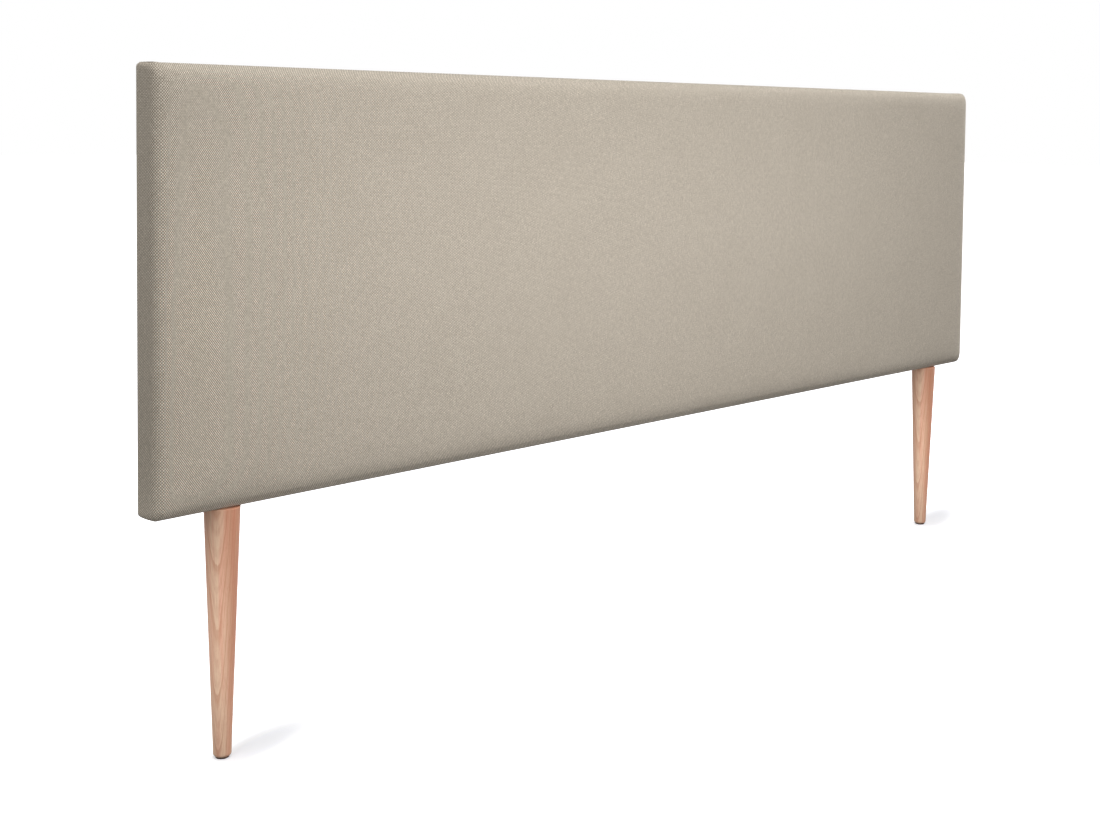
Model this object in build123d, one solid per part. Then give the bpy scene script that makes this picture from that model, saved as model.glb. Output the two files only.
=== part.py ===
from build123d import *
import os

# An upholstered headboard on two turned wooden legs. Foam and wadding lie over
# a board on a frame of softwood battens, and a fabric cover is drawn round the
# edges and stapled to the back of the frame under a dust cover.
# Millimetres. The front faces -Y, left is -X, and the origin lies on the floor
# below the middle of the headboard.

# Overall sizes
panel_length = 2000.0
panel_height = 600.0
leg_length = 350.0  # from the floor to the underside of the panel
edge_radius = 20.0  # round which the front turns into the four sides
corner_radius = 9.0  # of the four corners, seen from the front
crown_rise = 4.0  # of the flat middle of the front over its edges
crown_width = 90.0  # of the gently curved border between the two

# Layers of the panel, from the front to the back
cover_thickness = 1.0
wadding_thickness = 2.0
foam_thickness = 10.0
board_thickness = 3.0
batten_depth = 38.0
dust_cover_thickness = 0.5

# Frame
batten_width = 63.0
frame_gap = 0.5  # between the frame's outline and the wadding
upright_names = ("left_upright", "centre_upright", "right_upright")
block_side = 60.0  # of the triangular blocks glued into the frame's corners
block_setback = 4.0  # of a block behind the frame's front and back

# Hem of the cover, and the dust cover over it
hem_width = 34.0
dust_cover_margin = 6.0  # from the frame's outline
stud_hole_diameter = 14.0  # in the cover and wadding, for a leg's bolt

# Legs
leg_inset = 115.0  # from the panel's end to a leg's axis
leg_top_diameter = 50.0
leg_foot_diameter = 25.0
leg_end_radius = 4.5
leg_top_chamfer = 0.8
pad_diameter = 19.0
pad_thickness = 2.0
pad_edge_radius = 0.6

# Bolt of a leg, with a wood thread below and a machine thread above
bolt_diameter = 8.0
bolt_reach = 20.0  # of the machine thread into the insert
bolt_root_diameter = 7.0  # of the end in the leg
bolt_root_length = 38.0
bolt_point = 6.0
thread_clearance = 0.1

# Threaded insert in the bottom rail
insert_diameter = 12.0
insert_length = 24.0
insert_flange_diameter = 15.0
insert_flange_thickness = 1.5
drill_reserve = 5.0  # of the hole past the insert

# Screws through the rails into the ends of the uprights
frame_screw_diameter = 5.0
frame_screw_bite = 45.0  # into an upright
frame_screw_head = 10.0
frame_screw_shares = (0.27, 0.73)  # across a batten's width

# Pins that hold the board to the frame
pin_diameter = 1.6
pin_length = 16.0
pin_head_diameter = 3.6
pin_head_thickness = 0.8
pin_pitch = 160.0

# Nail of a foot pad
nail_diameter = 1.8
nail_length = 18.0
nail_head_diameter = 6.0
nail_head_thickness = 0.8

# Staples of the cover and of the dust cover
staple_width = 10.0
staple_wire = 0.8
staple_leg = 8.0
cover_staple_inset = 24.0  # from the frame's outline
cover_staple_pitch = 62.0
dust_staple_inset = 13.0
dust_staple_pitch = 88.0

# Keyhole plates on the outer uprights, for hanging on a wall
plate_width = 26.0
plate_height = 62.0
plate_thickness = 2.0
plate_corner = 3.0
plate_drop = 135.0  # from the panel's top to a plate's middle
keyhole_entry_diameter = 10.0
keyhole_slot_width = 5.2
keyhole_travel = 12.0  # from the entry's centre to the slot's end centre
pocket_depth = 12.0  # in the upright, for the head of the wall's screw
pocket_margin = 1.0
plate_screw_diameter = 4.0
plate_screw_length = 24.0
plate_screw_head = 7.6
plate_screw_edge = 8.0  # from a plate's end to a screw
recess_width = 0.9  # of the cross in a plate screw's head
recess_length = 4.2
recess_depth = 1.2

# Past the faces that a cut goes through
overrun = 5.0

# Sizes that follow from the ones above
padding = cover_thickness + wadding_thickness
side_build = padding + frame_gap
board_front = padding + foam_thickness
frame_front = board_front + board_thickness
frame_back = frame_front + batten_depth
panel_depth = frame_back + cover_thickness
dust_back = panel_depth + dust_cover_thickness
overall_depth = dust_back + plate_thickness
front_y = -overall_depth / 2
panel_bottom = leg_length
panel_top = leg_length + panel_height
panel_middle = (panel_bottom + panel_top) / 2
frame_right = panel_length / 2 - side_build
frame_bottom = panel_bottom + side_build
frame_top = panel_top - side_build
upright_bottom = frame_bottom + batten_width
upright_top = frame_top - batten_width
upright_pitch = (2 * frame_right - batten_width) / (len(upright_names) + 1)
leg_x = panel_length / 2 - leg_inset
leg_y = front_y + overall_depth - leg_top_diameter / 2  # flush with the plates, against a wall
leg_sides = {"left": -leg_x, "right": leg_x}
plate_middle = panel_top - plate_drop
plate_places = {"left": -upright_pitch, "right": upright_pitch}


def block(x_ends, depth_ends, z_ends):
    """A box between two places along the length, through the depth and in height."""
    size = [high - low for low, high in (x_ends, depth_ends, z_ends)]
    middle_depth = sum(depth_ends) / 2
    place = Pos(sum(x_ends) / 2, front_y + middle_depth, sum(z_ends) / 2)
    return place * Box(*size)


def back_plane(x, depth, z):
    """A place on the back whose own Z axis points out of it."""
    return Plane((x, front_y + depth, z), x_dir=(1, 0, 0), z_dir=(0, 1, 0))


def front_plane(x, depth, z):
    """A place seen from the front whose own Z axis points forwards."""
    return Plane((x, front_y + depth, z), x_dir=(1, 0, 0), z_dir=(0, -1, 0))


def turned(*points):
    """A solid of revolution about Z from an outline of radii and heights."""
    outline = make_face(Polyline(*points, close=True))
    return revolve(Plane.XZ * outline, Axis.Z)


def cut_to_fit(solid, pieces):
    """The solid with a hole for each of the pieces that reach into it."""
    box = solid.bounding_box()
    near = [p for p in pieces if boxes_meet(box, p.bounding_box())]
    return solid - near if near else solid


def boxes_meet(one, other):
    """Whether two bounding boxes share any space."""
    reaches = zip(one.min, other.max, one.max, other.min)
    return all(low < far and high > near for low, far, high, near in reaches)


# Panel's form: a crowned front that rounds over into the sides, with mitred corners


def crowned_section(width, depth, inset):
    """A section through the panel, front down: flat in the middle, crowned, then round."""
    side = width / 2
    flat_end = side + inset - crown_width
    front = -depth / 2
    shoulder = front + crown_rise
    outline = [
        Line((-flat_end, front), (flat_end, front)),
        TangentArc((flat_end, front), (side, shoulder), tangent=(1, 0)),
        Polyline((side, shoulder), (side, -front), (-side, -front), (-side, shoulder)),
        TangentArc((-flat_end, front), (-side, shoulder), tangent=(-1, 0)),
    ]
    section = make_face(outline)
    return fillet(section.vertices().group_by(Axis.Y)[1], edge_radius - inset)


def padded_form(inset):
    """The panel's outer form, set in all round, and open-ended past the back."""
    length = panel_length - 2 * inset
    height = panel_height - 2 * inset
    depth = overall_depth + overrun - inset
    middle = (0, front_y + inset + depth / 2, panel_middle)
    seen_from_above = Plane(middle, x_dir=(1, 0, 0), z_dir=(0, 0, 1))
    seen_from_the_end = Plane(middle, x_dir=(0, 0, 1), z_dir=(-1, 0, 0))
    seen_from_the_front = Plane(middle, x_dir=(1, 0, 0), z_dir=(0, -1, 0))
    plan = seen_from_above * crowned_section(length, depth, inset)
    profile = seen_from_the_end * crowned_section(height, depth, inset)
    ends = extrude(plan, height / 2, both=True)
    edges = extrude(profile, length / 2, both=True)
    outline = RectangleRounded(length, height, corner_radius - inset)
    corners = extrude(seen_from_the_front * outline, depth / 2, both=True)
    return ends & edges & corners


def slab(depth_ends):
    """All that lies between two depths behind the front face."""
    half_length = panel_length / 2 + overrun
    z_ends = (panel_bottom - overrun, panel_top + overrun)
    return block((-half_length, half_length), depth_ends, z_ends)


cover_form = padded_form(0)
wadding_form = padded_form(cover_thickness)
foam_form = padded_form(padding)
frame_form = padded_form(side_build)


# Fasteners


def screw(diameter, length, head_diameter):
    """A countersunk screw whose head is flush with Z = 0."""
    radius = diameter / 2
    head_radius = head_diameter / 2
    head_height = head_radius - radius
    shank_end = diameter - length
    return turned((0, 0), (head_radius, 0), (radius, -head_height), (radius, shank_end), (0, -length))


def headed_pin(diameter, length, head_diameter, head_thickness):
    """A pin with a flat head whose top lies at Z = 0."""
    radius = diameter / 2
    head_radius = head_diameter / 2
    neck = -head_thickness
    shank_end = diameter - length
    return turned((0, 0), (head_radius, 0), (head_radius, neck), (radius, neck), (radius, shank_end), (0, -length))


def staple():
    """A staple whose crown lies along X with its outer face at Z = 0."""
    reach = (staple_width - staple_wire) / 2
    leg = Pos(0, 0, -staple_leg / 2) * Box(staple_wire, staple_wire, staple_leg)
    crown = Pos(0, 0, -staple_wire / 2) * Box(staple_width, staple_wire, staple_wire)
    return crown + Pos(-reach, 0, 0) * leg + Pos(reach, 0, 0) * leg


def spread(low, high, pitch):
    """Even places from low to high, about a pitch apart."""
    steps = max(1, round((high - low) / pitch))
    return [low + (high - low) * step / steps for step in range(steps + 1)]


def staple_loop(inset, pitch, depth):
    """Staples all round the back, along the frame's outline."""
    x_reach = frame_right - inset
    z_low = frame_bottom + inset
    z_high = frame_top - inset
    along = [(x, z, 0) for z in (z_low, z_high) for x in spread(-x_reach, x_reach, pitch)]
    upward = spread(z_low, z_high, pitch)[1:-1]
    sideways = [(x, z, 90) for x in (-x_reach, x_reach) for z in upward]
    one = staple()
    return [back_plane(x, depth, z) * Rot(0, 0, turn) * one for x, z, turn in along + sideways]


def frame_screws():
    """Two screws at each end of each upright and stile, through the rail."""
    length = batten_width + frame_screw_bite
    one = screw(frame_screw_diameter, length, frame_screw_head)
    y = front_y + frame_front + batten_depth / 2
    places = []
    for middle in upright_middles().values():
        for share in frame_screw_shares:
            x = middle + (share - 0.5) * batten_width
            places.append(Pos(x, y, frame_top) * one)
            places.append(Pos(x, y, frame_bottom) * Rot(180, 0, 0) * one)
    return places


def board_pins():
    """Pins along the middle of each rail and upright."""
    one = headed_pin(pin_diameter, pin_length, pin_head_diameter, pin_head_thickness)
    rail_reach = frame_right - batten_width
    rail_middles = (frame_bottom + batten_width / 2, frame_top - batten_width / 2)
    places = [(x, z) for z in rail_middles for x in spread(-rail_reach, rail_reach, pin_pitch)]
    heights = spread(upright_bottom, upright_top, pin_pitch)[1:-1]
    places += [(x, z) for x in upright_middles().values() for z in heights]
    return [front_plane(x, board_front, z) * one for x, z in places]


def plate_screws():
    """Two screws in each keyhole plate."""
    one = screw(plate_screw_diameter, plate_screw_length, plate_screw_head)
    reach = plate_height / 2 - plate_screw_edge
    heights = (plate_middle - reach, plate_middle + reach)
    return [back_plane(x, overall_depth, z) * one for x in plate_places.values() for z in heights]


def cross_cut(turned_screw):
    """A screw with a cross sunk into its head, which faces backwards."""
    head = turned_screw.bounding_box().center()
    tall = Box(recess_width, 2 * recess_depth, recess_length)
    wide = Box(recess_length, 2 * recess_depth, recess_width)
    place = Pos(head.X, front_y + overall_depth, head.Z)
    return turned_screw - place * tall - place * wide


# Frame of battens


def upright_middles():
    """Where each stile and upright stands along the length."""
    end = frame_right - batten_width / 2
    middles = {"left_stile": -end}
    for number, name in enumerate(upright_names, 1):
        middles[name] = -end + number * upright_pitch
    middles["right_stile"] = end
    return middles


def keyhole_pocket(x):
    """The hollow in an upright behind a keyhole, where the wall's screw head travels."""
    width = keyhole_entry_diameter + 2 * pocket_margin
    outline = SlotCenterToCenter(keyhole_travel, width, rotation=90)
    hollow = extrude(outline, overrun + pocket_depth)
    return back_plane(x, frame_back - pocket_depth, plate_middle) * hollow


def insert_hole(x):
    """The hole in the bottom rail for a leg's insert and the end of its bolt."""
    drilled = bolt_diameter / 2 + thread_clearance
    hole = turned(
        (0, 0),
        (insert_flange_diameter / 2, 0),
        (insert_flange_diameter / 2, insert_flange_thickness),
        (insert_diameter / 2, insert_flange_thickness),
        (insert_diameter / 2, insert_length),
        (drilled, insert_length),
        (drilled, insert_length + drill_reserve),
        (0, insert_length + drill_reserve),
    )
    return Pos(x, leg_y, frame_bottom) * hole


def corner_block(side, edge):
    """A triangular block in one inner corner: side -1 or 1, and edge -1 below or 1 above."""
    x = side * (frame_right - batten_width)
    z = upright_top if edge > 0 else upright_bottom
    legs = (-side * block_side, -edge * block_side)
    outline = make_face(Polyline((0, 0), (legs[0], 0), (0, legs[1]), close=True))
    depth = batten_depth - 2 * block_setback
    place = Plane((x, front_y + frame_front + block_setback, z), x_dir=(1, 0, 0), z_dir=(0, -1, 0))
    return extrude(place * outline, -depth)


def build_frame(fasteners):
    """Rails, stiles, uprights and corner blocks, each with the holes of its fasteners."""
    depth_ends = (frame_front, frame_back)
    full_length = (-frame_right, frame_right)
    pieces = {
        "top_rail": block(full_length, depth_ends, (upright_top, frame_top)) & frame_form,
        "bottom_rail": block(full_length, depth_ends, (frame_bottom, upright_bottom)) & frame_form,
    }
    for name, middle in upright_middles().items():
        x_ends = (middle - batten_width / 2, middle + batten_width / 2)
        pieces[name] = block(x_ends, depth_ends, (upright_bottom, upright_top)) & frame_form
    for x in leg_sides.values():
        pieces["bottom_rail"] -= insert_hole(x)
    for side, x in plate_places.items():
        pieces[f"{side}_upright"] -= keyhole_pocket(x)
    pieces = {name: cut_to_fit(piece, fasteners) for name, piece in pieces.items()}
    for edge_name, edge in (("top", 1), ("bottom", -1)):
        for side_name, side in (("left", -1), ("right", 1)):
            pieces[f"{edge_name}_{side_name}_corner_block"] = corner_block(side, edge)
    return pieces


# Padding and covers


def stud_hole(x):
    """The hole through the padding under the frame for a leg's bolt."""
    height = side_build + 2 * overrun
    return Pos(x, leg_y, panel_bottom + side_build / 2) * Cylinder(stud_hole_diameter / 2, height)


def inside_outline(inset, depth_ends):
    """A block that fills the frame's outline, set in all round."""
    x_ends = (inset - frame_right, frame_right - inset)
    z_ends = (frame_bottom + inset, frame_top - inset)
    return block(x_ends, depth_ends, z_ends)


def fabric_cover(staples):
    """The cover's front, four sides and the hem that is turned onto the back."""
    outside = cover_form & slab((0, panel_depth))
    inside = wadding_form & slab((0, frame_back))
    window = inside_outline(hem_width, (frame_front, panel_depth + overrun))
    cover = outside - inside - window
    for x in leg_sides.values():
        cover -= stud_hole(x)
    return cut_to_fit(cover, staples)


def wadding_layer():
    """Fibre wadding over the foam and round the sides of the frame."""
    layer = wadding_form & slab((0, frame_back))
    layer -= foam_form
    for x in leg_sides.values():
        layer -= stud_hole(x)
    return layer


def dust_cover(staples):
    """Thin cloth over the back, cut out behind the keyholes."""
    cloth = inside_outline(dust_cover_margin, (panel_depth, dust_back))
    for x in plate_places.values():
        cloth -= keyhole_pocket(x)
    return cut_to_fit(cloth, staples)


def keyhole_plate(x):
    """A steel plate with a keyhole: a round entry below and a slot above."""
    plate = extrude(RectangleRounded(plate_width, plate_height, plate_corner), plate_thickness)
    entry = Pos(0, keyhole_travel / 2, 0) * Cylinder(keyhole_entry_diameter / 2, 2 * overrun)
    slot_outline = SlotCenterToCenter(keyhole_travel, keyhole_slot_width, rotation=90)
    slot = Pos(0, 0, -overrun) * extrude(slot_outline, 2 * overrun)
    return back_plane(x, dust_back, plate_middle) * (plate - entry - slot)


# Legs


def leg():
    """A turned, tapered leg with its top at Z = 0."""
    height = leg_length - pad_thickness
    body = Pos(0, 0, -height / 2) * Cone(leg_foot_diameter / 2, leg_top_diameter / 2, height)
    rims = body.edges().filter_by(GeomType.CIRCLE).sort_by(Axis.Z)
    body = fillet(rims[0], leg_end_radius)
    rims = body.edges().filter_by(GeomType.CIRCLE).sort_by(Axis.Z)
    return chamfer(rims[-1], leg_top_chamfer)


def leg_bolt():
    """A double-ended bolt, measured from the top of the leg at Z = 0."""
    root_radius = bolt_root_diameter / 2
    radius = bolt_diameter / 2
    top = side_build + bolt_reach
    lead = radius - root_radius
    return turned(
        (0, -bolt_root_length),
        (root_radius, bolt_point - bolt_root_length),
        (root_radius, 0),
        (radius, 0),
        (radius, top - lead),
        (root_radius, top),
        (0, top),
    )


def leg_insert():
    """A flanged, threaded insert, flush with the underside of the rail at Z = 0."""
    bore = bolt_diameter / 2 + thread_clearance
    return turned(
        (bore, 0),
        (insert_flange_diameter / 2, 0),
        (insert_flange_diameter / 2, insert_flange_thickness),
        (insert_diameter / 2, insert_flange_thickness),
        (insert_diameter / 2, insert_length),
        (bore, insert_length),
    )


def foot_pad():
    """A round pad under a leg, with its underside at Z = 0."""
    pad = Pos(0, 0, pad_thickness / 2) * Cylinder(pad_diameter / 2, pad_thickness)
    rim = pad.edges().filter_by(GeomType.CIRCLE).sort_by(Axis.Z)[0]
    return fillet(rim, pad_edge_radius)


def build_legs():
    """Both legs, each with its bolt, insert and foot pad, and the nails of the pads."""
    pieces = {}
    nails = []
    nail = headed_pin(nail_diameter, nail_length, nail_head_diameter, nail_head_thickness)
    nail_height = pad_thickness / 2
    for side, x in leg_sides.items():
        top = Pos(x, leg_y, panel_bottom)
        bolt = top * leg_bolt()
        driven = Pos(x, leg_y, nail_height) * Rot(180, 0, 0) * nail
        counterbore = Pos(x, leg_y, 0) * Cylinder(nail_head_diameter / 2, pad_thickness)
        pieces[f"{side}_leg"] = top * leg() - bolt - driven
        pieces[f"{side}_leg_bolt"] = bolt
        pieces[f"{side}_leg_insert"] = Pos(x, leg_y, frame_bottom) * leg_insert()
        pieces[f"{side}_foot_pad"] = Pos(x, leg_y, 0) * foot_pad() - counterbore - driven
        nails.append(driven)
    pieces["foot_pad_nails"] = Compound(children=nails)
    return pieces


# Assembly


def build_headboard():
    """Every piece of the headboard, by name."""
    joint_screws = frame_screws()
    pins = board_pins()
    holding_staples = staple_loop(cover_staple_inset, cover_staple_pitch, panel_depth)
    outer_depth = dust_back + staple_wire
    outer_staples = staple_loop(dust_staple_inset, dust_staple_pitch, outer_depth)
    hanging_screws = plate_screws()
    staples = holding_staples + outer_staples
    pieces = build_frame(joint_screws + pins + staples + hanging_screws)
    board = foam_form & slab((board_front, frame_front))
    pieces["face_board"] = cut_to_fit(board, pins)
    pieces["foam_pad"] = foam_form & slab((0, board_front))
    pieces["wadding_layer"] = wadding_layer()
    pieces["fabric_cover"] = fabric_cover(staples)
    pieces["dust_cover"] = dust_cover(outer_staples + hanging_screws)
    for side, x in plate_places.items():
        pieces[f"{side}_keyhole_plate"] = cut_to_fit(keyhole_plate(x), hanging_screws)
    pieces["frame_screws"] = Compound(children=joint_screws)
    pieces["board_pins"] = Compound(children=pins)
    pieces["cover_staples"] = Compound(children=holding_staples)
    pieces["dust_cover_staples"] = Compound(children=outer_staples)
    pieces["plate_screws"] = Compound(children=[cross_cut(one) for one in hanging_screws])
    pieces.update(build_legs())
    return pieces


os.makedirs("parts", exist_ok=True)
for name, piece in build_headboard().items():
    export_step(piece, f"parts/{name}.step")
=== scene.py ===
import math

import bpy
import numpy as np
from mathutils import Matrix, Vector, noise


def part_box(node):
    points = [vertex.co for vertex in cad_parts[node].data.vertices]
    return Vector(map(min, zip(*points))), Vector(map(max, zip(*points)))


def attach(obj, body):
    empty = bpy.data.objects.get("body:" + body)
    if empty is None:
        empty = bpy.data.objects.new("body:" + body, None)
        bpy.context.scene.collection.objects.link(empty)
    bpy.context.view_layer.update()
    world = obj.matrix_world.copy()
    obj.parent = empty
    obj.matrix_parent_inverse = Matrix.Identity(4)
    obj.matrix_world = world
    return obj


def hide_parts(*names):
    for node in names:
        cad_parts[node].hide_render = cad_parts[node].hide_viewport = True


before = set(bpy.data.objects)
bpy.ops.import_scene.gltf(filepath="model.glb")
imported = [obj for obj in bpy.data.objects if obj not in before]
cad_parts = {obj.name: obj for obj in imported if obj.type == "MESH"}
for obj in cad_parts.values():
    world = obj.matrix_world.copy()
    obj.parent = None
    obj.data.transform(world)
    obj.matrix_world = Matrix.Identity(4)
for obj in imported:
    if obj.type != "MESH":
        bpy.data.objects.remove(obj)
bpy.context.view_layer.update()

# An upholstered headboard: a woven cover drawn over foam and wadding, a dust cover on the back, and
# turned wooden legs. Metres, in the frame's axes: the front faces -Y, left is -X, +Z is up.

# Sizes read from the frame
cover_low, cover_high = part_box("fabric_cover")
leg_low, leg_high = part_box("left_leg")
plate_low, plate_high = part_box("right_keyhole_plate")
rail_low, rail_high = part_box("top_rail")
stile_low, stile_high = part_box("left_stile")
dust_low, dust_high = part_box("dust_cover")
board_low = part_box("face_board")[0]
half_length = cover_high.x
half_height = (cover_high.z - cover_low.z) / 2
middle_height = (cover_high.z + cover_low.z) / 2
front = cover_low.y
panel_depth = cover_high.y - front
frame_back = rail_high.y - front
foam_back = board_low.y - front
leg_x = -(leg_low.x + leg_high.x) / 2
leg_depth = (leg_low.y + leg_high.y) / 2 - front
plate_x = (plate_low.x + plate_high.x) / 2
plate_z = (plate_low.z + plate_high.z) / 2

# Form of the cover, as in the part's source, but softer at the corners
edge_radius = 0.020  # round which the front turns into the four sides
corner_radius = 0.009  # of the four corners, seen from the front
tight_corner_radius = 0.0052  # of the corners at the back, where the cloth is pulled over the frame
tight_depth = 0.042  # behind the front, where the corners become that tight
least_hem_radius = 0.0004  # of the corners on the hem
corner_softness = 0.6  # by which the corners grow rounder, for each metre into the front
edge_tilt = math.radians(15)  # at which the edge's round passes into the softer bend beside it
bend_width = 0.032  # from the outline to the bend's end
crown_tilt = math.radians(1.2)  # at the bend's end
crown_width = 0.090  # from the outline to the flat middle
back_edge_radius = 0.0025
hem_inner_edge = 0.0375  # from the outline to the hem's raw edge
cover_thickness = 0.001
wadding_thickness = 0.002
end_weave = 0.75  # own length of the cloth in each metre over the ends, where it is drawn hardest

# Holes in the cover and the wadding for the legs' bolts
stud_hole = 0.007  # half the width
hole_reach = 0.004  # above the lower edge, within which a face lies in the hole

# Pleat at each corner: the cloth of the long edge is folded over the cloth of the end
pleat_start = 0.010  # behind the front
pleat_full = 0.030
pleat_height = 0.0009
pleat_reach = 0.024  # of the raised band behind the fold
pleat_reach_soft = 0.009
pleat_shift = 0.0032  # from the corner's middle to the fold, along the ring
# Along the ring from the fold, and how far each point stands towards the end and outwards
pleat_places = (0.0003, 0.0006, 0.0009, 0.0013, 0.0018, 0.0024)
pleat_towards_end = (0.0, 0.0003, 0.0009, 0.0011, 0.0008, 0.0002)
pleat_outwards = (-0.0003, -0.0001, 0.0003, 0.0006, 0.0008, 0.0009)

# Net of the cover's mesh
border = 0.012  # from the outline to the first column that runs over the edge
corner_zone = 0.060  # along each edge, where the columns spread round a corner
finest_step = 0.0014
coarsest_step = 0.0100
step_growth = 1.2
edge_rows = 8
hole_rows = (-1, -0.5, 0, 0.5, 1)  # across a bolt's hole, in its half widths
rows_behind_hole = (0.0435, 0.048)  # depths, at the last of which the wadding ends
back_turns = (0, 30, 60, 90)  # degrees gone round the back edge
# On the hem: the way from the outline, and how much of the pleat the dust cover leaves standing there
hem_rows = (
    (0.006, 0.6), (0.0085, 0.25), (0.0105, 0.2), (0.016, 0.2), (0.024, 0.2), (0.031, 0.2),
    (hem_inner_edge, 0.2),
)

# Padding: its bulge, its unevenness, and how it has settled along the lower edge
bulge_height = 0.0015  # of the cover over its border, at most
bulge_cell = 0.02  # of the simulated cloth
bulge_frames = 24
bulge_push = 6.0  # pressure under that cloth
bulge_growth = 0.004  # share by which it may stretch
uneven_height = 0.00018
uneven_widths = (0.16, 0.075)  # of its slow and its fast waves
uneven_slice = 7.3  # of the noise that gives these waves
settled_most = 0.0034
settled_height = 0.060  # of the settled band, which fades as far along, towards each end
settled_margin = 0.004  # from each end to the band
settled_depths = (0.006, 0.014)  # behind the front, between which the skins come back to their place

# Dust cover, its staples and its windows over the keyhole plates
dust_cell = 0.0112
dust_fold = 0.012  # width of its turned-under edge
dust_fold_height = 0.0004
dust_bend = 0.0009  # width of the step beside that edge
dust_rim = 0.001  # from its outline, within which the cloth is drawn in between the staples
dust_rim_line = 0.0007
dust_drawn_in = 0.0009
dust_pucker = 0.0009  # height of its waves between staples
dust_pucker_reach = 0.03
dust_sag = 0.0025  # into the bays between the battens
dust_sag_change = 0.6  # share of the sag that slow waves add or take away
dust_wave_width = 1 / 9
dust_wave_slice = 2.1
staple_half = 0.005  # half the length of a staple's crown
staple_wire = 0.0008
staple_steps = (22, 6)  # how many there are from the first staple to the last, along and up
window_half_width = 0.006
window_half_height = 0.013

# Camera: its place, angles and lens are fitted to the photograph's outlines
camera_place = (-1.95893, -1.73676, 0.87857)
camera_yaw = math.radians(44.2045)  # to the right of straight ahead
camera_pitch = math.radians(-2.9362)
camera_roll = math.radians(0.6049)
camera_lens = 48.408  # millimetres
camera_sensor = 36
camera_shift = -0.195  # of the picture, in its widths

# Floor: white to the camera, but for a soft shadow by each foot: real, over a painted shadow of less glow
floor_half = 30.0
floor_colour = (0.81, 0.82, 0.86, 1)
floor_bounce = (0.1, 0.1, 0.1, 1)  # as the object sees it, so that little light comes up from it
floor_glow = (0.11, 0.0)  # left in the middle of the left and the right shadow
shadow_reach = 0.15  # along, from that middle to plain white
shadow_shift = 0.068  # of that middle from the foot, to the right
shadow_lean = 0.25  # by which the shadow runs back, for each metre along
shadow_slimness = 2.8  # its length in its widths
shadow_fullness = 3.0  # the higher, the farther from its middle the shadow stays dark

# Light: plain from all sides, and lamps by name, place, what they face, size and power
ambient = 0.425
ambient_colour = (1.0, 0.985, 0.94, 1)
panel_middle = (0, 0, middle_height)
panel_lamps = (
    ("key", (0, -3.1, 5.65), panel_middle, (2.4, 2.4), 96),
    ("right", (3, -0.3, 1.85), panel_middle, (1.6, 1.6), 42),
    ("left", (-3, -0.2, 1.25), panel_middle, (1.0, 1.0), 5),
    ("over_left", (-2.2, -0.6, 3.6), panel_middle, (1.0, 1.0), 18),
    ("front", (-0.45, -1.4, 0.80), (-0.1, 0, 0.65), (0.9, 0.6), 6.5),
    ("strip", (-0.1, -0.5, 0.74), (-0.1, 0, 0.72), (1.7, 0.25), 1.3),
)
# Two narrow lamps, by the leg that each faces and its power
leg_lamps = (("left_leg_beam", -leg_x, 0.068), ("right_leg_beam", leg_x, 0.08))
leg_lamp_place = (-0.9, -0.5, 0.42)  # its way along from the leg, and its place across and up
leg_lamp_aim = 0.16  # height on the leg
leg_lamp_size = (0.2, 0.2)
leg_lamp_spread = math.radians(22)


# Shader helpers


def shade(red, green, blue):
    """A colour written as on screen, from 0 to 255, as the shader's linear one."""
    screen = [c / 255 for c in (red, green, blue)]
    linear = [c / 12.92 if c <= 0.04045 else ((c + 0.055) / 1.055) ** 2.4 for c in screen]
    return (*linear, 1.0)


def add(tree, kind, inputs=None, **settings):
    """A node with its settings, whose inputs are values or other nodes' outputs."""
    made = tree.nodes.new(kind)
    for name, value in settings.items():
        setattr(made, name, value)
    for name, value in (inputs or {}).items():
        if isinstance(value, bpy.types.NodeSocket):
            tree.links.new(value, made.inputs[name])
        else:
            made.inputs[name].default_value = value
    return made


def calc(tree, operation, *values):
    """The result of one Math node."""
    return add(tree, "ShaderNodeMath", dict(enumerate(values)), operation=operation).outputs[0]


def plus(tree, first, second):
    """The sum of two numbers."""
    return calc(tree, "ADD", first, second)


def minus(tree, first, second):
    """One number less another."""
    return calc(tree, "SUBTRACT", first, second)


def times(tree, first, second):
    """The product of two numbers."""
    return calc(tree, "MULTIPLY", first, second)


def vector_calc(tree, operation, *values):
    """The result of one Vector Math node."""
    return add(tree, "ShaderNodeVectorMath", dict(enumerate(values)), operation=operation).outputs[0]


def scaled(tree, vector, factor):
    """A vector or colour times a number."""
    inputs = {0: vector, "Scale": factor}
    return add(tree, "ShaderNodeVectorMath", inputs, operation="SCALE").outputs[0]


def length_of(tree, vector):
    """The length of a vector."""
    return add(tree, "ShaderNodeVectorMath", {0: vector}, operation="LENGTH").outputs["Value"]


def mix_number(tree, share, low, high):
    """A number between two others."""
    return add(tree, "ShaderNodeMix", {0: share, 2: low, 3: high}).outputs[0]


def mix_colour(tree, share, first, second):
    """A colour between two others."""
    return add(tree, "ShaderNodeMix", {0: share, 6: first, 7: second}, data_type="RGBA").outputs[2]


def ranged(tree, value, low, high, to_low=0.0, to_high=1.0, kind="SMOOTHSTEP"):
    """A value brought from one range to another, and held at its ends."""
    inputs = {"Value": value, "From Min": low, "From Max": high, "To Min": to_low, "To Max": to_high}
    return add(tree, "ShaderNodeMapRange", inputs, interpolation_type=kind).outputs[0]


def cloudy(tree, vector, scale, detail=2.0, roughness=0.5):
    """Soft noise from 0 to 1."""
    inputs = {"Vector": vector, "Scale": scale, "Detail": detail, "Roughness": roughness}
    return add(tree, "ShaderNodeTexNoise", inputs).outputs[0]


def joined(tree, x, y, z):
    """A vector from three numbers."""
    return add(tree, "ShaderNodeCombineXYZ", {0: x, 1: y, 2: z}).outputs[0]


def parted(tree, vector):
    """The three numbers of a vector."""
    return add(tree, "ShaderNodeSeparateXYZ", {0: vector}).outputs


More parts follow.
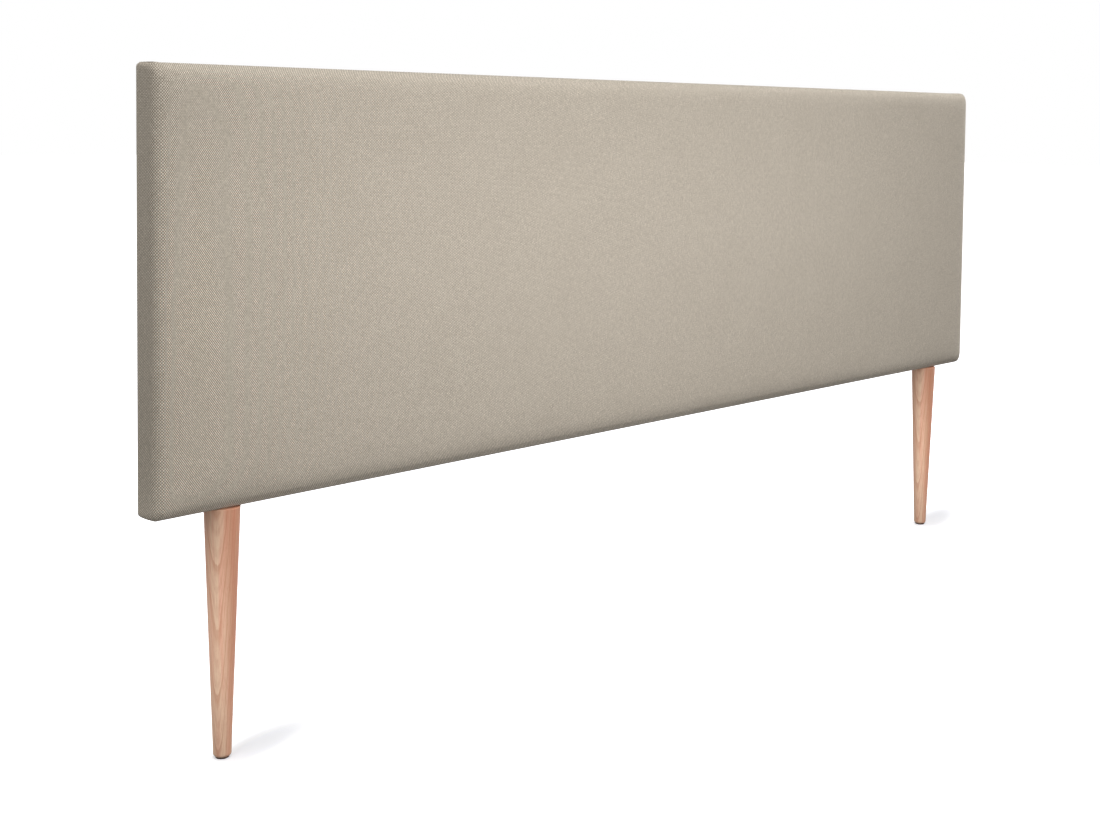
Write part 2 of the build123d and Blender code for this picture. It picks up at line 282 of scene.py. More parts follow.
def new_group(name, inputs, outputs):
    """An empty node group with named sockets, what its inputs give and what its outputs take."""
    tree = bpy.data.node_groups.new(name, "ShaderNodeTree")
    for label, (kind, value) in inputs.items():
        socket = tree.interface.new_socket(label, in_out="INPUT", socket_type=kind)
        if value is not None:
            socket.default_value = value
    for label, kind in outputs.items():
        tree.interface.new_socket(label, in_out="OUTPUT", socket_type=kind)
    return tree, tree.nodes.new("NodeGroupInput").outputs, tree.nodes.new("NodeGroupOutput").inputs


def place_group(tree, group, **inputs):
    """A group's node with its own values, and its outputs."""
    made = tree.nodes.new("ShaderNodeGroup")
    made.node_tree = group
    for label, value in inputs.items():
        socket = made.inputs[label.replace("_", " ")]
        if isinstance(value, bpy.types.NodeSocket):
            tree.links.new(value, socket)
        else:
            socket.default_value = value
    return made.outputs


def new_material(name):
    """A material with one Principled shader."""
    material = bpy.data.materials.new(name)
    material.use_nodes = True
    tree = material.node_tree
    return material, tree, tree.nodes["Principled BSDF"]


def bump(tree, shader, height, distance, strength=1.0):
    """Relief from a height of 0 to 1 over a distance."""
    made = add(tree, "ShaderNodeBump", {"Strength": strength, "Distance": distance, "Height": height})
    tree.links.new(made.outputs[0], shader.inputs["Normal"])


# Shared effects as node groups


def weave_group():
    """Plain weave: warp and weft pass over and under each other, each spun from mixed fibres."""
    inputs = {
        "Cloth": ("NodeSocketVector", None),
        "Yarn Pitch": ("NodeSocketVector", (0.0015, 0.002, 1.0)),
        "Warp": ("NodeSocketColor", (0.7, 0.65, 0.6, 1)),
        "Weft": ("NodeSocketColor", (0.4, 0.35, 0.3, 1)),
        "Dark Yarn": ("NodeSocketColor", (0.3, 0.27, 0.22, 1)),
        "Melange": ("NodeSocketFloat", 0.5),
        # Hollow: how much painted shade darkens the hollows between the threads
        "Hollow": ("NodeSocketFloat", 0.5),
    }
    outputs = {"Color": "NodeSocketColor", "Height": "NodeSocketFloat"}
    tree, given, result = new_group("plain_weave", inputs, outputs)

    # The threads sway by part of their pitch, so that no row runs quite straight
    wander = add(tree, "ShaderNodeTexNoise", {"Vector": given["Cloth"], "Scale": 16.0, "Detail": 2.0})
    sway = vector_calc(tree, "SUBTRACT", wander.outputs[1], (0.5, 0.5, 0.5))
    sway = vector_calc(tree, "MULTIPLY", sway, (0.6, 0.6, 0.0))
    threads = vector_calc(tree, "DIVIDE", given["Cloth"], given["Yarn Pitch"])
    u, v, _ = parted(tree, vector_calc(tree, "ADD", threads, sway))

    # In a chequer of cells, the warp lies on top where over is 0, and the weft where it is 1
    warp = calc(tree, "FLOOR", u)
    weft = calc(tree, "FLOOR", v)
    over = calc(tree, "FLOORED_MODULO", plus(tree, warp, weft), 2.0)
    in_warp = minus(tree, minus(tree, u, warp), 0.5)
    in_weft = minus(tree, minus(tree, v, weft), 0.5)
    across = mix_number(tree, over, in_warp, in_weft)
    along = mix_number(tree, over, in_weft, in_warp)

    # The thread on top is round across, and arched along between the places where it dives
    round_off = times(tree, times(tree, across, across), 3.2)
    arch = calc(tree, "COSINE", times(tree, along, math.pi))
    arched = mix_number(tree, 0.6, 1.0, arch)
    height = times(tree, minus(tree, 1.0, round_off), arched)

    # Its tone drifts along the thread and jumps from cell to cell. The wefts' numbers are moved on,
    # so that no weft is spun like a warp
    number = mix_number(tree, over, warp, plus(tree, weft, 531.0))
    length = mix_number(tree, over, v, u)
    spun = joined(tree, times(tree, number, 7.31), times(tree, length, 0.3), over)
    slub = ranged(tree, cloudy(tree, spun, 1.0), 0.36, 0.64)
    cell = joined(tree, warp, weft, 0.5)
    single = add(tree, "ShaderNodeTexWhiteNoise", {"Vector": cell}).outputs["Value"]
    tone = times(tree, mix_number(tree, 0.55, slub, single), given["Melange"])
    yarn = mix_colour(tree, over, given["Warp"], given["Weft"])
    yarn = mix_colour(tree, tone, yarn, given["Dark Yarn"])

    # Painted shade darkens the hollows between the threads, and fine fibres roughen the relief
    depth = minus(tree, 1.0, height)
    hollow_shade = times(tree, times(tree, depth, depth), given["Hollow"])
    relief = mix_number(tree, 0.15, height, cloudy(tree, threads, 5.0, 2.0, 0.7))
    tree.links.new(scaled(tree, yarn, minus(tree, 1.0, hollow_shade)), result["Color"])
    tree.links.new(relief, result["Height"])
    return tree


def grain_group():
    """Figure of sawn wood: growth rings round a distant pith, long fibres and short pores."""
    inputs = {
        "Place": ("NodeSocketVector", None),
        "Pith Distance": ("NodeSocketFloat", 0.045),
        "Ring Pitch": ("NodeSocketFloat", 0.003),
        "Ring Start": ("NodeSocketFloat", 0.0),
        "Lean": ("NodeSocketFloat", 0.0),
        "Early Wood": ("NodeSocketColor", (0.7, 0.5, 0.4, 1)),
        "Late Wood": ("NodeSocketColor", (0.5, 0.3, 0.2, 1)),
        "Tint": ("NodeSocketColor", (0.6, 0.4, 0.3, 1)),
        "Ring Strength": ("NodeSocketFloat", 0.5),
        "Ring Fill": ("NodeSocketFloat", 0.45),
        "Flank Strength": ("NodeSocketFloat", 0.0),
    }
    outputs = {"Color": "NodeSocketColor", "Height": "NodeSocketFloat", "Roughness": "NodeSocketFloat"}
    tree, given, result = new_group("wood_figure", inputs, outputs)
    place = given["Place"]
    x, y, z = parted(tree, place)

    def stretched(across, along, detail=2.0, roughness=0.5):
        """Noise with one scale across the grain and another along it."""
        drawn_out = vector_calc(tree, "MULTIPLY", place, (across, across, along))
        return cloudy(tree, drawn_out, 1.0, detail, roughness)

    # The rings are counted by the distance from the pith, which wanders and leans along the piece
    wander = times(tree, minus(tree, stretched(30, 6), 0.5), 0.0045)
    from_pith = plus(tree, y, given["Pith Distance"])
    squares = plus(tree, times(tree, x, x), times(tree, from_pith, from_pith))
    distance = minus(tree, calc(tree, "SQRT", squares), given["Ring Start"])
    distance = plus(tree, distance, times(tree, z, given["Lean"]))
    distance = plus(tree, distance, wander)
    ring = calc(tree, "DIVIDE", distance, given["Ring Pitch"])
    step = calc(tree, "FRACT", ring)
    number = calc(tree, "FLOOR", ring)

    # Each ring darkens slowly to a line of late wood, more in some rings than in others, and has
    # three fainter lines inside it
    slow = times(tree, ranged(tree, step, 0.25, 0.84), given["Ring Fill"])
    line = ranged(tree, step, 0.78, 0.95, 0.0, 0.55)
    late = times(tree, plus(tree, slow, line), ranged(tree, step, 0.96, 1.0, 1.0, 0.0))
    inner = minus(tree, calc(tree, "FRACT", times(tree, ring, 3.0)), 0.5)
    inner = ranged(tree, calc(tree, "ABSOLUTE", inner), 0.12, 0.3, 0.45, 0.0)
    late = plus(tree, late, times(tree, inner, stretched(60, 9)))
    ring_tone = cloudy(tree, joined(tree, times(tree, number, 3.7), 0.0, 0.0), 1.0)
    late = times(tree, late, mix_number(tree, ring_tone, 0.55, 1.35))

    # Bands tint the early wood, and the flanks, rings, fibres and pores darken it
    fibre = stretched(900, 16, 3.0, 0.65)
    band = ranged(tree, stretched(130, 3), 0.35, 0.7)
    pore = ranged(tree, stretched(1700, 110, 1.0), 0.62, 0.74)
    # Darker towards the flanks: painted shade at the sides away from the figured face, and the redder late
    # wood there
    flank_shade = ranged(tree, calc(tree, "ABSOLUTE", x), 0.006, 0.021)
    colour = mix_colour(tree, band, given["Early Wood"], given["Tint"])
    darker = (
        (flank_shade, given["Flank Strength"]),
        (late, given["Ring Strength"]),
        (ranged(tree, fibre, 0.4, 0.75), 0.28),
        (pore, 0.3),
    )
    for mask, strength in darker:
        colour = mix_colour(tree, times(tree, mask, strength), colour, given["Late Wood"])
    height = minus(tree, times(tree, fibre, 0.3), times(tree, pore, 0.5))
    tree.links.new(colour, result["Color"])
    tree.links.new(height, result["Height"])
    tree.links.new(mix_number(tree, fibre, 0.42, 0.58), result["Roughness"])
    return tree


def handling_group():
    """Blotches and specks of handling, from 0, clean, to 1."""
    inputs = {"Place": ("NodeSocketVector", None), "Scale": ("NodeSocketFloat", 40.0)}
    outputs = {"Blotches": "NodeSocketFloat", "Specks": "NodeSocketFloat"}
    tree, given, result = new_group("handling", inputs, outputs)
    blotch = cloudy(tree, given["Place"], given["Scale"], 4.0)
    speck = cloudy(tree, given["Place"], 1400.0)
    tree.links.new(ranged(tree, blotch, 0.35, 0.68), result["Blotches"])
    tree.links.new(ranged(tree, speck, 0.5, 0.7), result["Specks"])
    return tree


weave = weave_group()
grain = grain_group()
handling = handling_group()

# Materials


def object_place(tree, shift=(0, 0, 0), turn=0.0):
    """Where a point of the surface is from another place, turned about Z."""
    place = add(tree, "ShaderNodeTexCoord").outputs["Object"]
    moved = vector_calc(tree, "SUBTRACT", place, shift)
    made = add(tree, "ShaderNodeVectorRotate", {"Vector": moved, "Angle": turn}, rotation_type="Z_AXIS")
    return made.outputs[0]


def show_figure(tree, shader, relief, strength=1.0, **values):
    """Puts the figure of wood, with a piece's own values, on its shader."""
    figure = place_group(tree, grain, **values)
    tree.links.new(figure["Color"], shader.inputs["Base Color"])
    tree.links.new(figure["Roughness"], shader.inputs["Roughness"])
    bump(tree, shader, figure["Height"], relief, strength)


def cover_material():
    """Greige melange upholstery cloth in plain weave."""
    material, tree, shader = new_material("woven_cover")
    cloth = add(tree, "ShaderNodeAttribute", attribute_name="cloth").outputs["Vector"]
    woven = place_group(
        tree, weave, Cloth=cloth, Yarn_Pitch=(0.001475, 0.002015, 1.0), Melange=0.36, Hollow=0.25,
        Warp=shade(244, 234, 219), Weft=shade(158, 147, 132), Dark_Yarn=shade(132, 120, 104),
    )
    worn = place_group(tree, handling, Place=cloth, Scale=9.0)
    share = times(tree, worn["Blotches"], 0.05)
    colour = mix_colour(tree, share, woven["Color"], shade(150, 140, 126))
    # The dye took unevenly, in short streaks along the warp
    streaks = cloudy(tree, vector_calc(tree, "MULTIPLY", cloth, (260.0, 90.0, 1.0)), 1.0, 3.0, 0.6)
    colour = scaled(tree, colour, mix_number(tree, streaks, 0.88, 1.15))
    tree.links.new(colour, shader.inputs["Base Color"])
    bump(tree, shader, woven["Height"], 0.0003)
    shader.inputs["Roughness"].default_value = 0.92
    shader.inputs["Specular IOR Level"].default_value = 0.2
    shader.inputs["Sheen Weight"].default_value = 0.12
    shader.inputs["Sheen Roughness"].default_value = 0.6
    return material


def leg_material(side, x, turn):
    """Pinkish turned beech, flat-sawn towards the front left, with a satin lacquer."""
    material, tree, shader = new_material(f"{side}_leg_beech")
    place = object_place(tree, (x, front + leg_depth, 0), turn)
    # The flanks are darkened partly as painted shade at the leg's sides, and partly by the redder wood
    # there
    show_figure(
        tree, shader, 0.00015, 0.6, Place=place, Pith_Distance=0.042, Ring_Pitch=0.0030,
        Ring_Start=0.0578, Ring_Strength=0.52, Ring_Fill=0.16, Flank_Strength=0.55,
        Early_Wood=shade(246, 211, 182), Late_Wood=shade(186, 104, 68), Tint=shade(242, 191, 164),
    )
    shader.inputs["Specular IOR Level"].default_value = 0.3
    shader.inputs["Coat Weight"].default_value = 0.05
    shader.inputs["Coat Roughness"].default_value = 0.35
    return material


def pine_material():
    """Planed softwood battens with wide pale rings, whose grain runs along the panel."""
    material, tree, shader = new_material("planed_pine")
    x, y, z = parted(tree, object_place(tree, (0, 0.01, 0.1)))
    show_figure(
        tree, shader, 0.0003, Place=joined(tree, z, y, x), Pith_Distance=0.06, Ring_Pitch=0.0032,
        Ring_Start=0.0, Lean=0.01, Ring_Strength=0.8,
        Early_Wood=shade(232, 208, 166), Late_Wood=shade(196, 146, 92), Tint=shade(224, 192, 146),
    )
    return material


def board_material():
    """Pressed fibre board, brown and mottled."""
    material, tree, shader = new_material("pressed_board")
    worn = place_group(tree, handling, Place=object_place(tree), Scale=160.0)
    colour = mix_colour(tree, worn["Blotches"], shade(150, 112, 76), shade(124, 88, 58))
    colour = mix_colour(tree, times(tree, worn["Specks"], 0.5), colour, shade(92, 62, 40))
    tree.links.new(colour, shader.inputs["Base Color"])
    bump(tree, shader, worn["Specks"], 0.0002)
    shader.inputs["Roughness"].default_value = 0.7
    return material


def soft_material(name, light, dark, cell, relief):
    """Foam or fibre: small open cells or a fleece of fibres."""
    material, tree, shader = new_material(name)
    place = object_place(tree)
    cells = add(tree, "ShaderNodeTexVoronoi", {"Vector": place, "Scale": 1 / cell}).outputs["Distance"]
    worn = place_group(tree, handling, Place=place, Scale=14.0)
    blotches = times(tree, worn["Blotches"], 0.25)
    share = plus(tree, times(tree, cells, 0.6), blotches)
    tree.links.new(mix_colour(tree, share, light, dark), shader.inputs["Base Color"])
    bump(tree, shader, cells, relief)
    shader.inputs["Roughness"].default_value = 0.95
    return material


def dust_material():
    """Black spunbonded cloth with its pattern of pressed dots."""
    material, tree, shader = new_material("spunbond_dust_cloth")
    place = object_place(tree)
    x, _, z = parted(tree, place)
    pitch = 0.0022
    u = calc(tree, "FRACT", calc(tree, "DIVIDE", plus(tree, x, z), pitch))
    v = calc(tree, "FRACT", calc(tree, "DIVIDE", minus(tree, x, z), pitch))
    from_dot = joined(tree, minus(tree, u, 0.5), minus(tree, v, 0.5), 0.0)
    pressed = ranged(tree, length_of(tree, from_dot), 0.2, 0.32, 1.0, 0.0)
    fibres = cloudy(tree, place, 900.0, 4.0, 0.7)
    stray = times(tree, ranged(tree, fibres, 0.52, 0.7), 0.3)
    cloud = ranged(tree, cloudy(tree, place, 18.0, 3.0), 0.35, 0.7)
    colour = mix_colour(tree, cloud, shade(38, 38, 40), shade(56, 56, 59))
    colour = mix_colour(tree, times(tree, pressed, 0.5), colour, shade(24, 24, 26))
    colour = mix_colour(tree, stray, colour, shade(86, 86, 90))
    tree.links.new(colour, shader.inputs["Base Color"])
    sunken = times(tree, pressed, 0.8)
    bump(tree, shader, minus(tree, times(tree, fibres, 0.5), sunken), 0.00015)
    tree.links.new(mix_number(tree, pressed, 0.78, 0.5), shader.inputs["Roughness"])
    return material


def zinc_material():
    """Bright zinc plating over pressed steel, a little dulled."""
    material, tree, shader = new_material("zinc_plate")
    worn = place_group(tree, handling, Place=object_place(tree), Scale=70.0)
    colour = mix_colour(tree, worn["Blotches"], shade(206, 208, 208), shade(172, 174, 172))
    colour = mix_colour(tree, times(tree, worn["Specks"], 0.3), colour, shade(140, 140, 136))
    tree.links.new(colour, shader.inputs["Base Color"])
    tree.links.new(mix_number(tree, worn["Blotches"], 0.28, 0.46), shader.inputs["Roughness"])
    bump(tree, shader, worn["Specks"], 0.00004)
    shader.inputs["Metallic"].default_value = 1.0
    return material


def pad_material():
    """Dark moulded plastic with a fine grain."""
    material, tree, shader = new_material("pad_plastic")
    worn = place_group(tree, handling, Place=object_place(tree), Scale=300.0)
    colour = mix_colour(tree, worn["Blotches"], shade(70, 44, 30), shade(52, 32, 22))
    tree.links.new(colour, shader.inputs["Base Color"])
    tree.links.new(mix_number(tree, worn["Specks"], 0.5, 0.7), shader.inputs["Roughness"])
    bump(tree, shader, worn["Specks"], 0.00005)
    return material


# Cover's form


class Layer:
    """One skin of the panel, set in from the cover's outside by the thickness of what lies over it."""

    def __init__(self, inset):
        self.inset = inset
        self.half_length = half_length - inset
        self.half_height = half_height - inset
        self.corner = corner_radius - inset
        self.tight_corner = tight_corner_radius - inset
        self.radius = edge_radius - inset
        self.zone = corner_zone - inset
        self.crown = crown_width - inset
        self.bend = bend_width - inset
        self.round = self.radius * (1 - math.sin(edge_tilt))
        self.centre = float(self.face_depth(self.round)) + self.radius * math.cos(edge_tilt)
        self.side_start = inset + self.centre

    def level(self, from_end, from_edge):
        """How far a point of the front lies inside the outline, round whose corners the levels bend.

        A level's corner is an arc, and its radius grows with the level. A point on it fulfils
        (middle - from_end)**2 + (middle - from_edge)**2 = radius**2, with middle = level + radius."""
        nearer = np.minimum(from_end, from_edge)
        farther = np.maximum(from_end, from_edge)
        grow = 1 + corner_softness
        a = 2 * grow**2 - corner_softness**2
        b = 2 * (grow * (2 * self.corner - from_end - from_edge) - corner_softness * self.corner)
        c = (self.corner - from_end) ** 2 + (self.corner - from_edge) ** 2 - self.corner**2
        bent = (-b + np.sqrt(np.maximum(b * b - 4 * a * c, 0))) / (2 * a)
        return np.where(farther < self.corner + grow * nearer, bent, nearer)

    def face_depth(self, level):
        """How far the crown and the bend beside it fall behind the flat middle, at a level."""
        low, high = math.tan(crown_tilt), math.tan(edge_tilt)
        crowned = low * np.clip(self.crown - np.maximum(level, self.bend), 0, None) ** 2
        into_bend = np.clip(self.bend - level, 0, None)
        fallen = crowned / (2 * (self.crown - self.bend)) + low * into_bend
        return fallen + (high - low) * into_bend**2 / (2 * (self.bend - self.round))

    def depth(self, level):
        """How deep the skin lies behind the cover's front at a level inside its outline."""
        across = np.clip(self.radius - level, 0, self.radius)
        rounded = self.centre - np.sqrt(self.radius**2 - across**2)
        return self.inset + np.where(level > self.round, self.face_depth(level), rounded)

    def corner_way(self, level, radius):
        """The way along a ring from the corner zone's start to the corner's middle."""
        return self.zone - (level + radius) + radius * math.pi / 4

    def share_along(self, along, across, level):
        """Which share of the way to the corner's middle a point of the front has gone."""
        radius = self.corner + corner_softness * level
        middle = level + radius
        turned = np.arctan2(np.maximum(middle - along, 0), np.maximum(middle - across, 1e-9))
        gone = np.where(along >= middle, self.zone - along, self.zone - middle + radius * turned)
        return gone / self.corner_way(level, radius)

    def ring_point(self, share, level, radius):
        """Distances from the corner's two sides, the turn there and the way gone, on one ring."""
        middle = level + radius
        gone = share * self.corner_way(level, radius)
        turned = np.clip((gone - (self.zone - middle)) / radius, 0, None)
        on_arc = turned > 0
        along = np.where(on_arc, middle - radius * np.sin(turned), self.zone - gone)
        across = np.where(on_arc, middle - radius * np.cos(turned), level)
        return along, across, turned, gone


def smooth(low, high, value):
    """A soft step from 0 to 1."""
    share = np.clip((value - low) / (high - low), 0, 1)
    return share * share * (3 - 2 * share)


def slow_noise(x, z, width, noise_slice):
    """Soft waves of a width at places of the panel."""
    return np.array([noise.noise(Vector((a / width, b / width, noise_slice))) for a, b in zip(x, z)])


def settled_by(x, height, depth):
    """How far the skins lie back at a place along, a height over the lower edge and a depth."""
    along = smooth(settled_margin, settled_height, half_length - abs(x))
    upward = np.clip(1 - height / settled_height, 0, 1) ** 2
    return settled_most * upward * along * (1 - smooth(*settled_depths, depth))


def grid_face(i, j, rows):
    """The face that starts at the point i, j of a grid, whose points are numbered column by column."""
    return (i * rows + j, (i + 1) * rows + j, (i + 1) * rows + j + 1, i * rows + j + 1)


def grid_lines(half, fixed=()):
    """Places of the front's grid lines, closer together near the edge, with some at fixed places."""
    inset, step, insets = border, finest_step, []
    while step < coarsest_step:
        insets.append(inset)
        inset += step
        step *= step_growth
    inner = np.linspace(0, half - inset, round((half - inset) / coarsest_step) + 1)
    lines = np.concatenate([inner, half - np.array(insets[::-1])])
    for place in fixed:
        lines[np.argmin(abs(lines - place))] = place
    return np.concatenate([-lines[:0:-1], lines])


def simulated_bulge():
    """Heights of a cloth that is held all round and pushed out by the padding, from 0 to 1, on a grid."""
    nx, nz = round(2 * half_length / bulge_cell), round(2 * half_height / bulge_cell)
    across = np.linspace(-half_length, half_length, nx + 1)
    up = np.linspace(-half_height, half_height, nz + 1)
    points = [(x, z, 0) for x in across for z in up]
    mesh = bpy.data.meshes.new("trial_cloth")
    mesh.from_pydata(points, [], [grid_face(i, j, nz + 1) for i in range(nx) for j in range(nz)])
    trial = bpy.data.objects.new("trial_cloth", mesh)
    bpy.context.scene.collection.objects.link(trial)
    rim = [k for k, (x, z, _) in enumerate(points)
           if half_length - abs(x) < bulge_cell / 2 or half_height - abs(z) < bulge_cell / 2]
    trial.vertex_groups.new(name="held").add(rim, 1, "REPLACE")
    cloth = trial.modifiers.new("cloth", "CLOTH")
    cloth.settings.vertex_group_mass = "held"
    cloth.settings.quality = 5
    cloth.settings.use_pressure = True
    cloth.settings.uniform_pressure_force = bulge_push
    cloth.settings.shrink_min = -bulge_growth
    cloth.settings.effector_weights.gravity = 0
    cloth.point_cache.frame_end = bulge_frames
    for number in range(1, bulge_frames + 1):
        bpy.context.scene.frame_set(number)
    shaped = trial.evaluated_get(bpy.context.evaluated_depsgraph_get()).to_mesh()
    places = np.empty(len(points) * 3)
    shaped.vertices.foreach_get("co", places)
    heights = abs(places[2::3]).reshape(nx + 1, nz + 1)
    bpy.data.objects.remove(trial)
    bpy.data.meshes.remove(mesh)
    bpy.context.scene.frame_set(1)
    return across, up, heights / heights.max()


def make_relief():
    """A function of places on the front: how far the padding pushes the cover out there."""
    across, up, heights = simulated_bulge()

    def relief(x, z):
        i = np.clip(np.searchsorted(across, x) - 1, 0, len(across) - 2)
        j = np.clip(np.searchsorted(up, z) - 1, 0, len(up) - 2)
        s = np.clip((x - across[i]) / (across[1] - across[0]), 0, 1)
        t = np.clip((z - up[j]) / (up[1] - up[0]), 0, 1)
        low = heights[i, j] * (1 - s) + heights[i + 1, j] * s
        high = heights[i, j + 1] * (1 - s) + heights[i + 1, j + 1] * s
        waves = sum(slow_noise(x, z, width, uneven_slice) for width in uneven_widths)
        return bulge_height * (low * (1 - t) + high * t) + uneven_height * waves

    return relief


relief = make_relief()
lines_x = grid_lines(half_length, (leg_x - stud_hole, leg_x + stud_hole))
lines_z = grid_lines(half_height)
side_rows = (*(leg_depth + stud_hole * row for row in hole_rows), *rows_behind_hole)


def ring_columns():
    """The columns that run from the front's border over the edge, in order round the panel.

    Each starts at a line along and a line up, runs over a long edge or an end, and is one of the
    fold's columns, by its number, or none of them, by -1."""
    right, top = len(lines_x) - 1, len(lines_z) - 1
    folds = range(len(pleat_places))
    columns = []
    for direction, j, start, end in ((1, top, 0, right), (-1, 0, right, 0)):
        columns.append((start, j, False, -1))
        columns += [(start, j, True, fold) for fold in folds]
        columns += [(i, j, True, -1) for i in range(start + direction, end, direction)]
        columns += [(end, j, True, fold) for fold in reversed(folds)]
        columns.append((end, j, False, -1))
        columns += [(end, k, False, -1) for k in range(j - direction, top - j, -direction)]
    return columns


columns = ring_columns()


class Skin:
    """Points of one skin: the front's grid, then ring after ring from the grid's border to the back.

    back is how deep the sides go. cloth holds each point's place on the cloth as it lies flat."""

    def __init__(self, layer, back, hem=False, pleated=False):
        self.layer = layer
        self.back = back
        self.hem = hem
        self.back_edge = back_edge_radius - layer.inset if hem else 0
        self.pleated = pleated
        self.rings, self.cloth_rings = [], []
        self.start_columns()
        self.add_edge()
        if back >= layer.side_start:
            self.add_sides()
        if hem:
            self.add_hem()
        grid, grid_cloth = self.front_grid()
        self.points = np.concatenate([grid, *self.rings])
        self.cloth = np.concatenate([grid_cloth, *self.cloth_rings])

    def front_grid(self):
        """Points of the grid over the front, pushed out by the padding, and their cloth places."""
        layer = self.layer
        x, z = (a.ravel() for a in np.meshgrid(lines_x, lines_z, indexing="ij"))
        level = layer.level(layer.half_length - abs(x), layer.half_height - abs(z))
        pushed = relief(x, z) * smooth(border, 2 * bend_width, level + layer.inset)
        depth = layer.depth(level)
        settled = settled_by(x, half_height + z, depth)
        points = np.stack([x, front + depth - pushed + settled, middle_height + z], 1)
        return points, np.stack([x, z, 0 * x], 1)

    def of_fold(self, values):
        """A value for each of the fold's columns, and 0 for the others."""
        return np.where(self.fold >= 0, np.array(values)[self.fold], 0)

    def start_columns(self):
        """Where each column starts, and which share of the way round its corner it has there.

        Far from the corners a column runs straight over the edge. Near them the columns move on
        to their last share, which leaves room for the fold beside the corner's middle."""
        layer = self.layer
        i, j, self.lengthwise, self.fold = (np.array(c) for c in zip(*columns))
        self.start_x, self.start_z = lines_x[i], lines_z[j]
        self.sign_x = np.where(self.start_x < 0, -1, 1)
        self.sign_z = np.where(self.start_z < 0, -1, 1)
        from_end = layer.half_length - abs(self.start_x)
        from_edge = layer.half_height - abs(self.start_z)
        self.along = np.where(self.lengthwise, from_end, from_edge)
        across = np.where(self.lengthwise, from_edge, from_end)
        self.in_zone = self.along < layer.zone
        self.first_level = layer.level(from_end, from_edge)
        self.first_share = layer.share_along(self.along, across, self.first_level)
        corner_way = layer.corner_way(0, layer.corner)
        stretch = 1 + np.where(self.lengthwise, -pleat_shift, pleat_shift) / corner_way
        share = stretch * (1 - (self.along + layer.inset - border) / (corner_zone - border))
        place = self.of_fold(pleat_places)
        self.last_share = share - np.where(self.lengthwise, place / corner_way, 0)
        self.towards_end = self.of_fold(pleat_towards_end)
        self.outwards = self.of_fold(pleat_outwards)
        self.gone_over = np.zeros(len(columns))
        self.last = (self.first_level, layer.depth(self.first_level))

    def pleat_lift(self, along, depth):
        """How far the full pleat stands out: at the fold, and over the band behind it."""
        reach = np.minimum(depth - pleat_start / 2, pleat_reach)
        band = pleat_height * (1 - smooth(reach - pleat_reach_soft, reach, along))
        return np.where(self.lengthwise & (self.fold < 0), band, self.outwards)

    def add_ring(self, level, radius, depth, share, flat, backward, pleat):
        """One ring at a level in from the outline and a depth, with its own corner radius.

        share is how far the columns have moved from their first share to their last one. The skin
        faces outwards by flat and back by backward, and pleat is how much of the pleat shows."""
        layer = self.layer
        share = self.first_share + (self.last_share - self.first_share) * share
        along, across, turned, gone = layer.ring_point(share, level, radius)
        along = np.where(self.in_zone, along, self.along)
        across = np.where(self.in_zone, across, level)
        turned = np.where(self.in_zone, turned, 0)
        lift = np.zeros(len(columns))
        if self.pleated:
            lift = pleat * self.pleat_lift(along, depth)
            towards = pleat * self.towards_end
            along = along - np.cos(turned) * towards - np.sin(turned) * lift * flat
            across = across + np.sin(turned) * towards - np.cos(turned) * lift * flat
        x = self.sign_x * (layer.half_length - np.where(self.lengthwise, along, across))
        z = self.sign_z * (layer.half_height - np.where(self.lengthwise, across, along))
        settled = settled_by(x, half_height + z, depth)
        y = front + np.minimum(depth + settled, self.back) + lift * backward
        self.rings.append(np.stack([x, y, middle_height + z], 1))
        self.gone_over = self.gone_over + np.hypot(level - self.last[0], depth - self.last[1])
        self.last = (level, depth)
        self.add_cloth(gone)

    def add_cloth(self, gone):
        """The flat cloth's places of a ring: the way along the edge, and the way over it."""
        half = np.where(self.lengthwise, self.layer.half_length, self.layer.half_height)
        way = np.where(self.in_zone, half - self.layer.zone + gone, half - self.along)
        start = np.where(self.lengthwise, abs(self.start_z), abs(self.start_x))
        over = start + self.gone_over * np.where(self.lengthwise, 1, end_weave)
        u = self.sign_x * np.where(self.lengthwise, way, over)
        v = self.sign_z * np.where(self.lengthwise, over, way)
        self.cloth_rings.append(np.stack([u, v, 0 * u], 1))

    def add_edge(self):
        """Rings round the edge, as far as the sides, or the back where that comes first."""
        layer = self.layer
        first_turn = np.arcsin(np.clip(1 - self.first_level / layer.radius, 0, 1))
        for row in range(1, edge_rows + 1):
            share = row / edge_rows
            turn = first_turn + (math.pi / 2 - first_turn) * share
            level = layer.radius * (1 - np.sin(turn))
            depth = layer.side_start - layer.radius * np.cos(turn)
            if self.back < layer.side_start:
                depth = np.minimum(depth, self.back)
                left = layer.side_start - self.back
                cut_level = layer.radius - math.sqrt(layer.radius**2 - left**2)
                level = np.where(depth < self.back, level, cut_level)
            radius = layer.corner + corner_softness * level
            pleat = smooth(pleat_start, pleat_full, depth)
            self.add_ring(level, radius, depth, smooth(0, 1, share), np.sin(turn), -np.cos(turn), pleat)

    def add_sides(self):
        """Rings along the sides, whose corners grow tighter towards the back."""
        layer = self.layer
        rows = [depth for depth in side_rows if layer.side_start < depth < self.back - self.back_edge]
        if not self.hem:
            rows.append(self.back)
        for depth in rows:
            tight = smooth(layer.side_start, tight_depth, depth)
            radius = layer.corner + (layer.tight_corner - layer.corner) * tight
            self.add_ring(0, radius, depth, 1, 1, 0, smooth(pleat_start, pleat_full, depth))

    def add_hem(self):
        """Rings round the back edge and over the hem to its raw edge."""
        layer, edge = self.layer, self.back_edge
        rows = []
        for degrees in back_turns:
            turn = math.radians(degrees)
            depth = self.back - edge * (1 - math.sin(turn))
            rows.append((edge * (1 - math.cos(turn)), depth, math.cos(turn), math.sin(turn), 1))
        rows += [(max(inset - layer.inset, edge), self.back, 0, 1, pleat) for inset, pleat in hem_rows]
        for level, depth, flat, backward, pleat in rows:
            radius = max(layer.tight_corner - level, least_hem_radius)
            self.add_ring(level, radius, depth, 1, flat, backward, pleat)

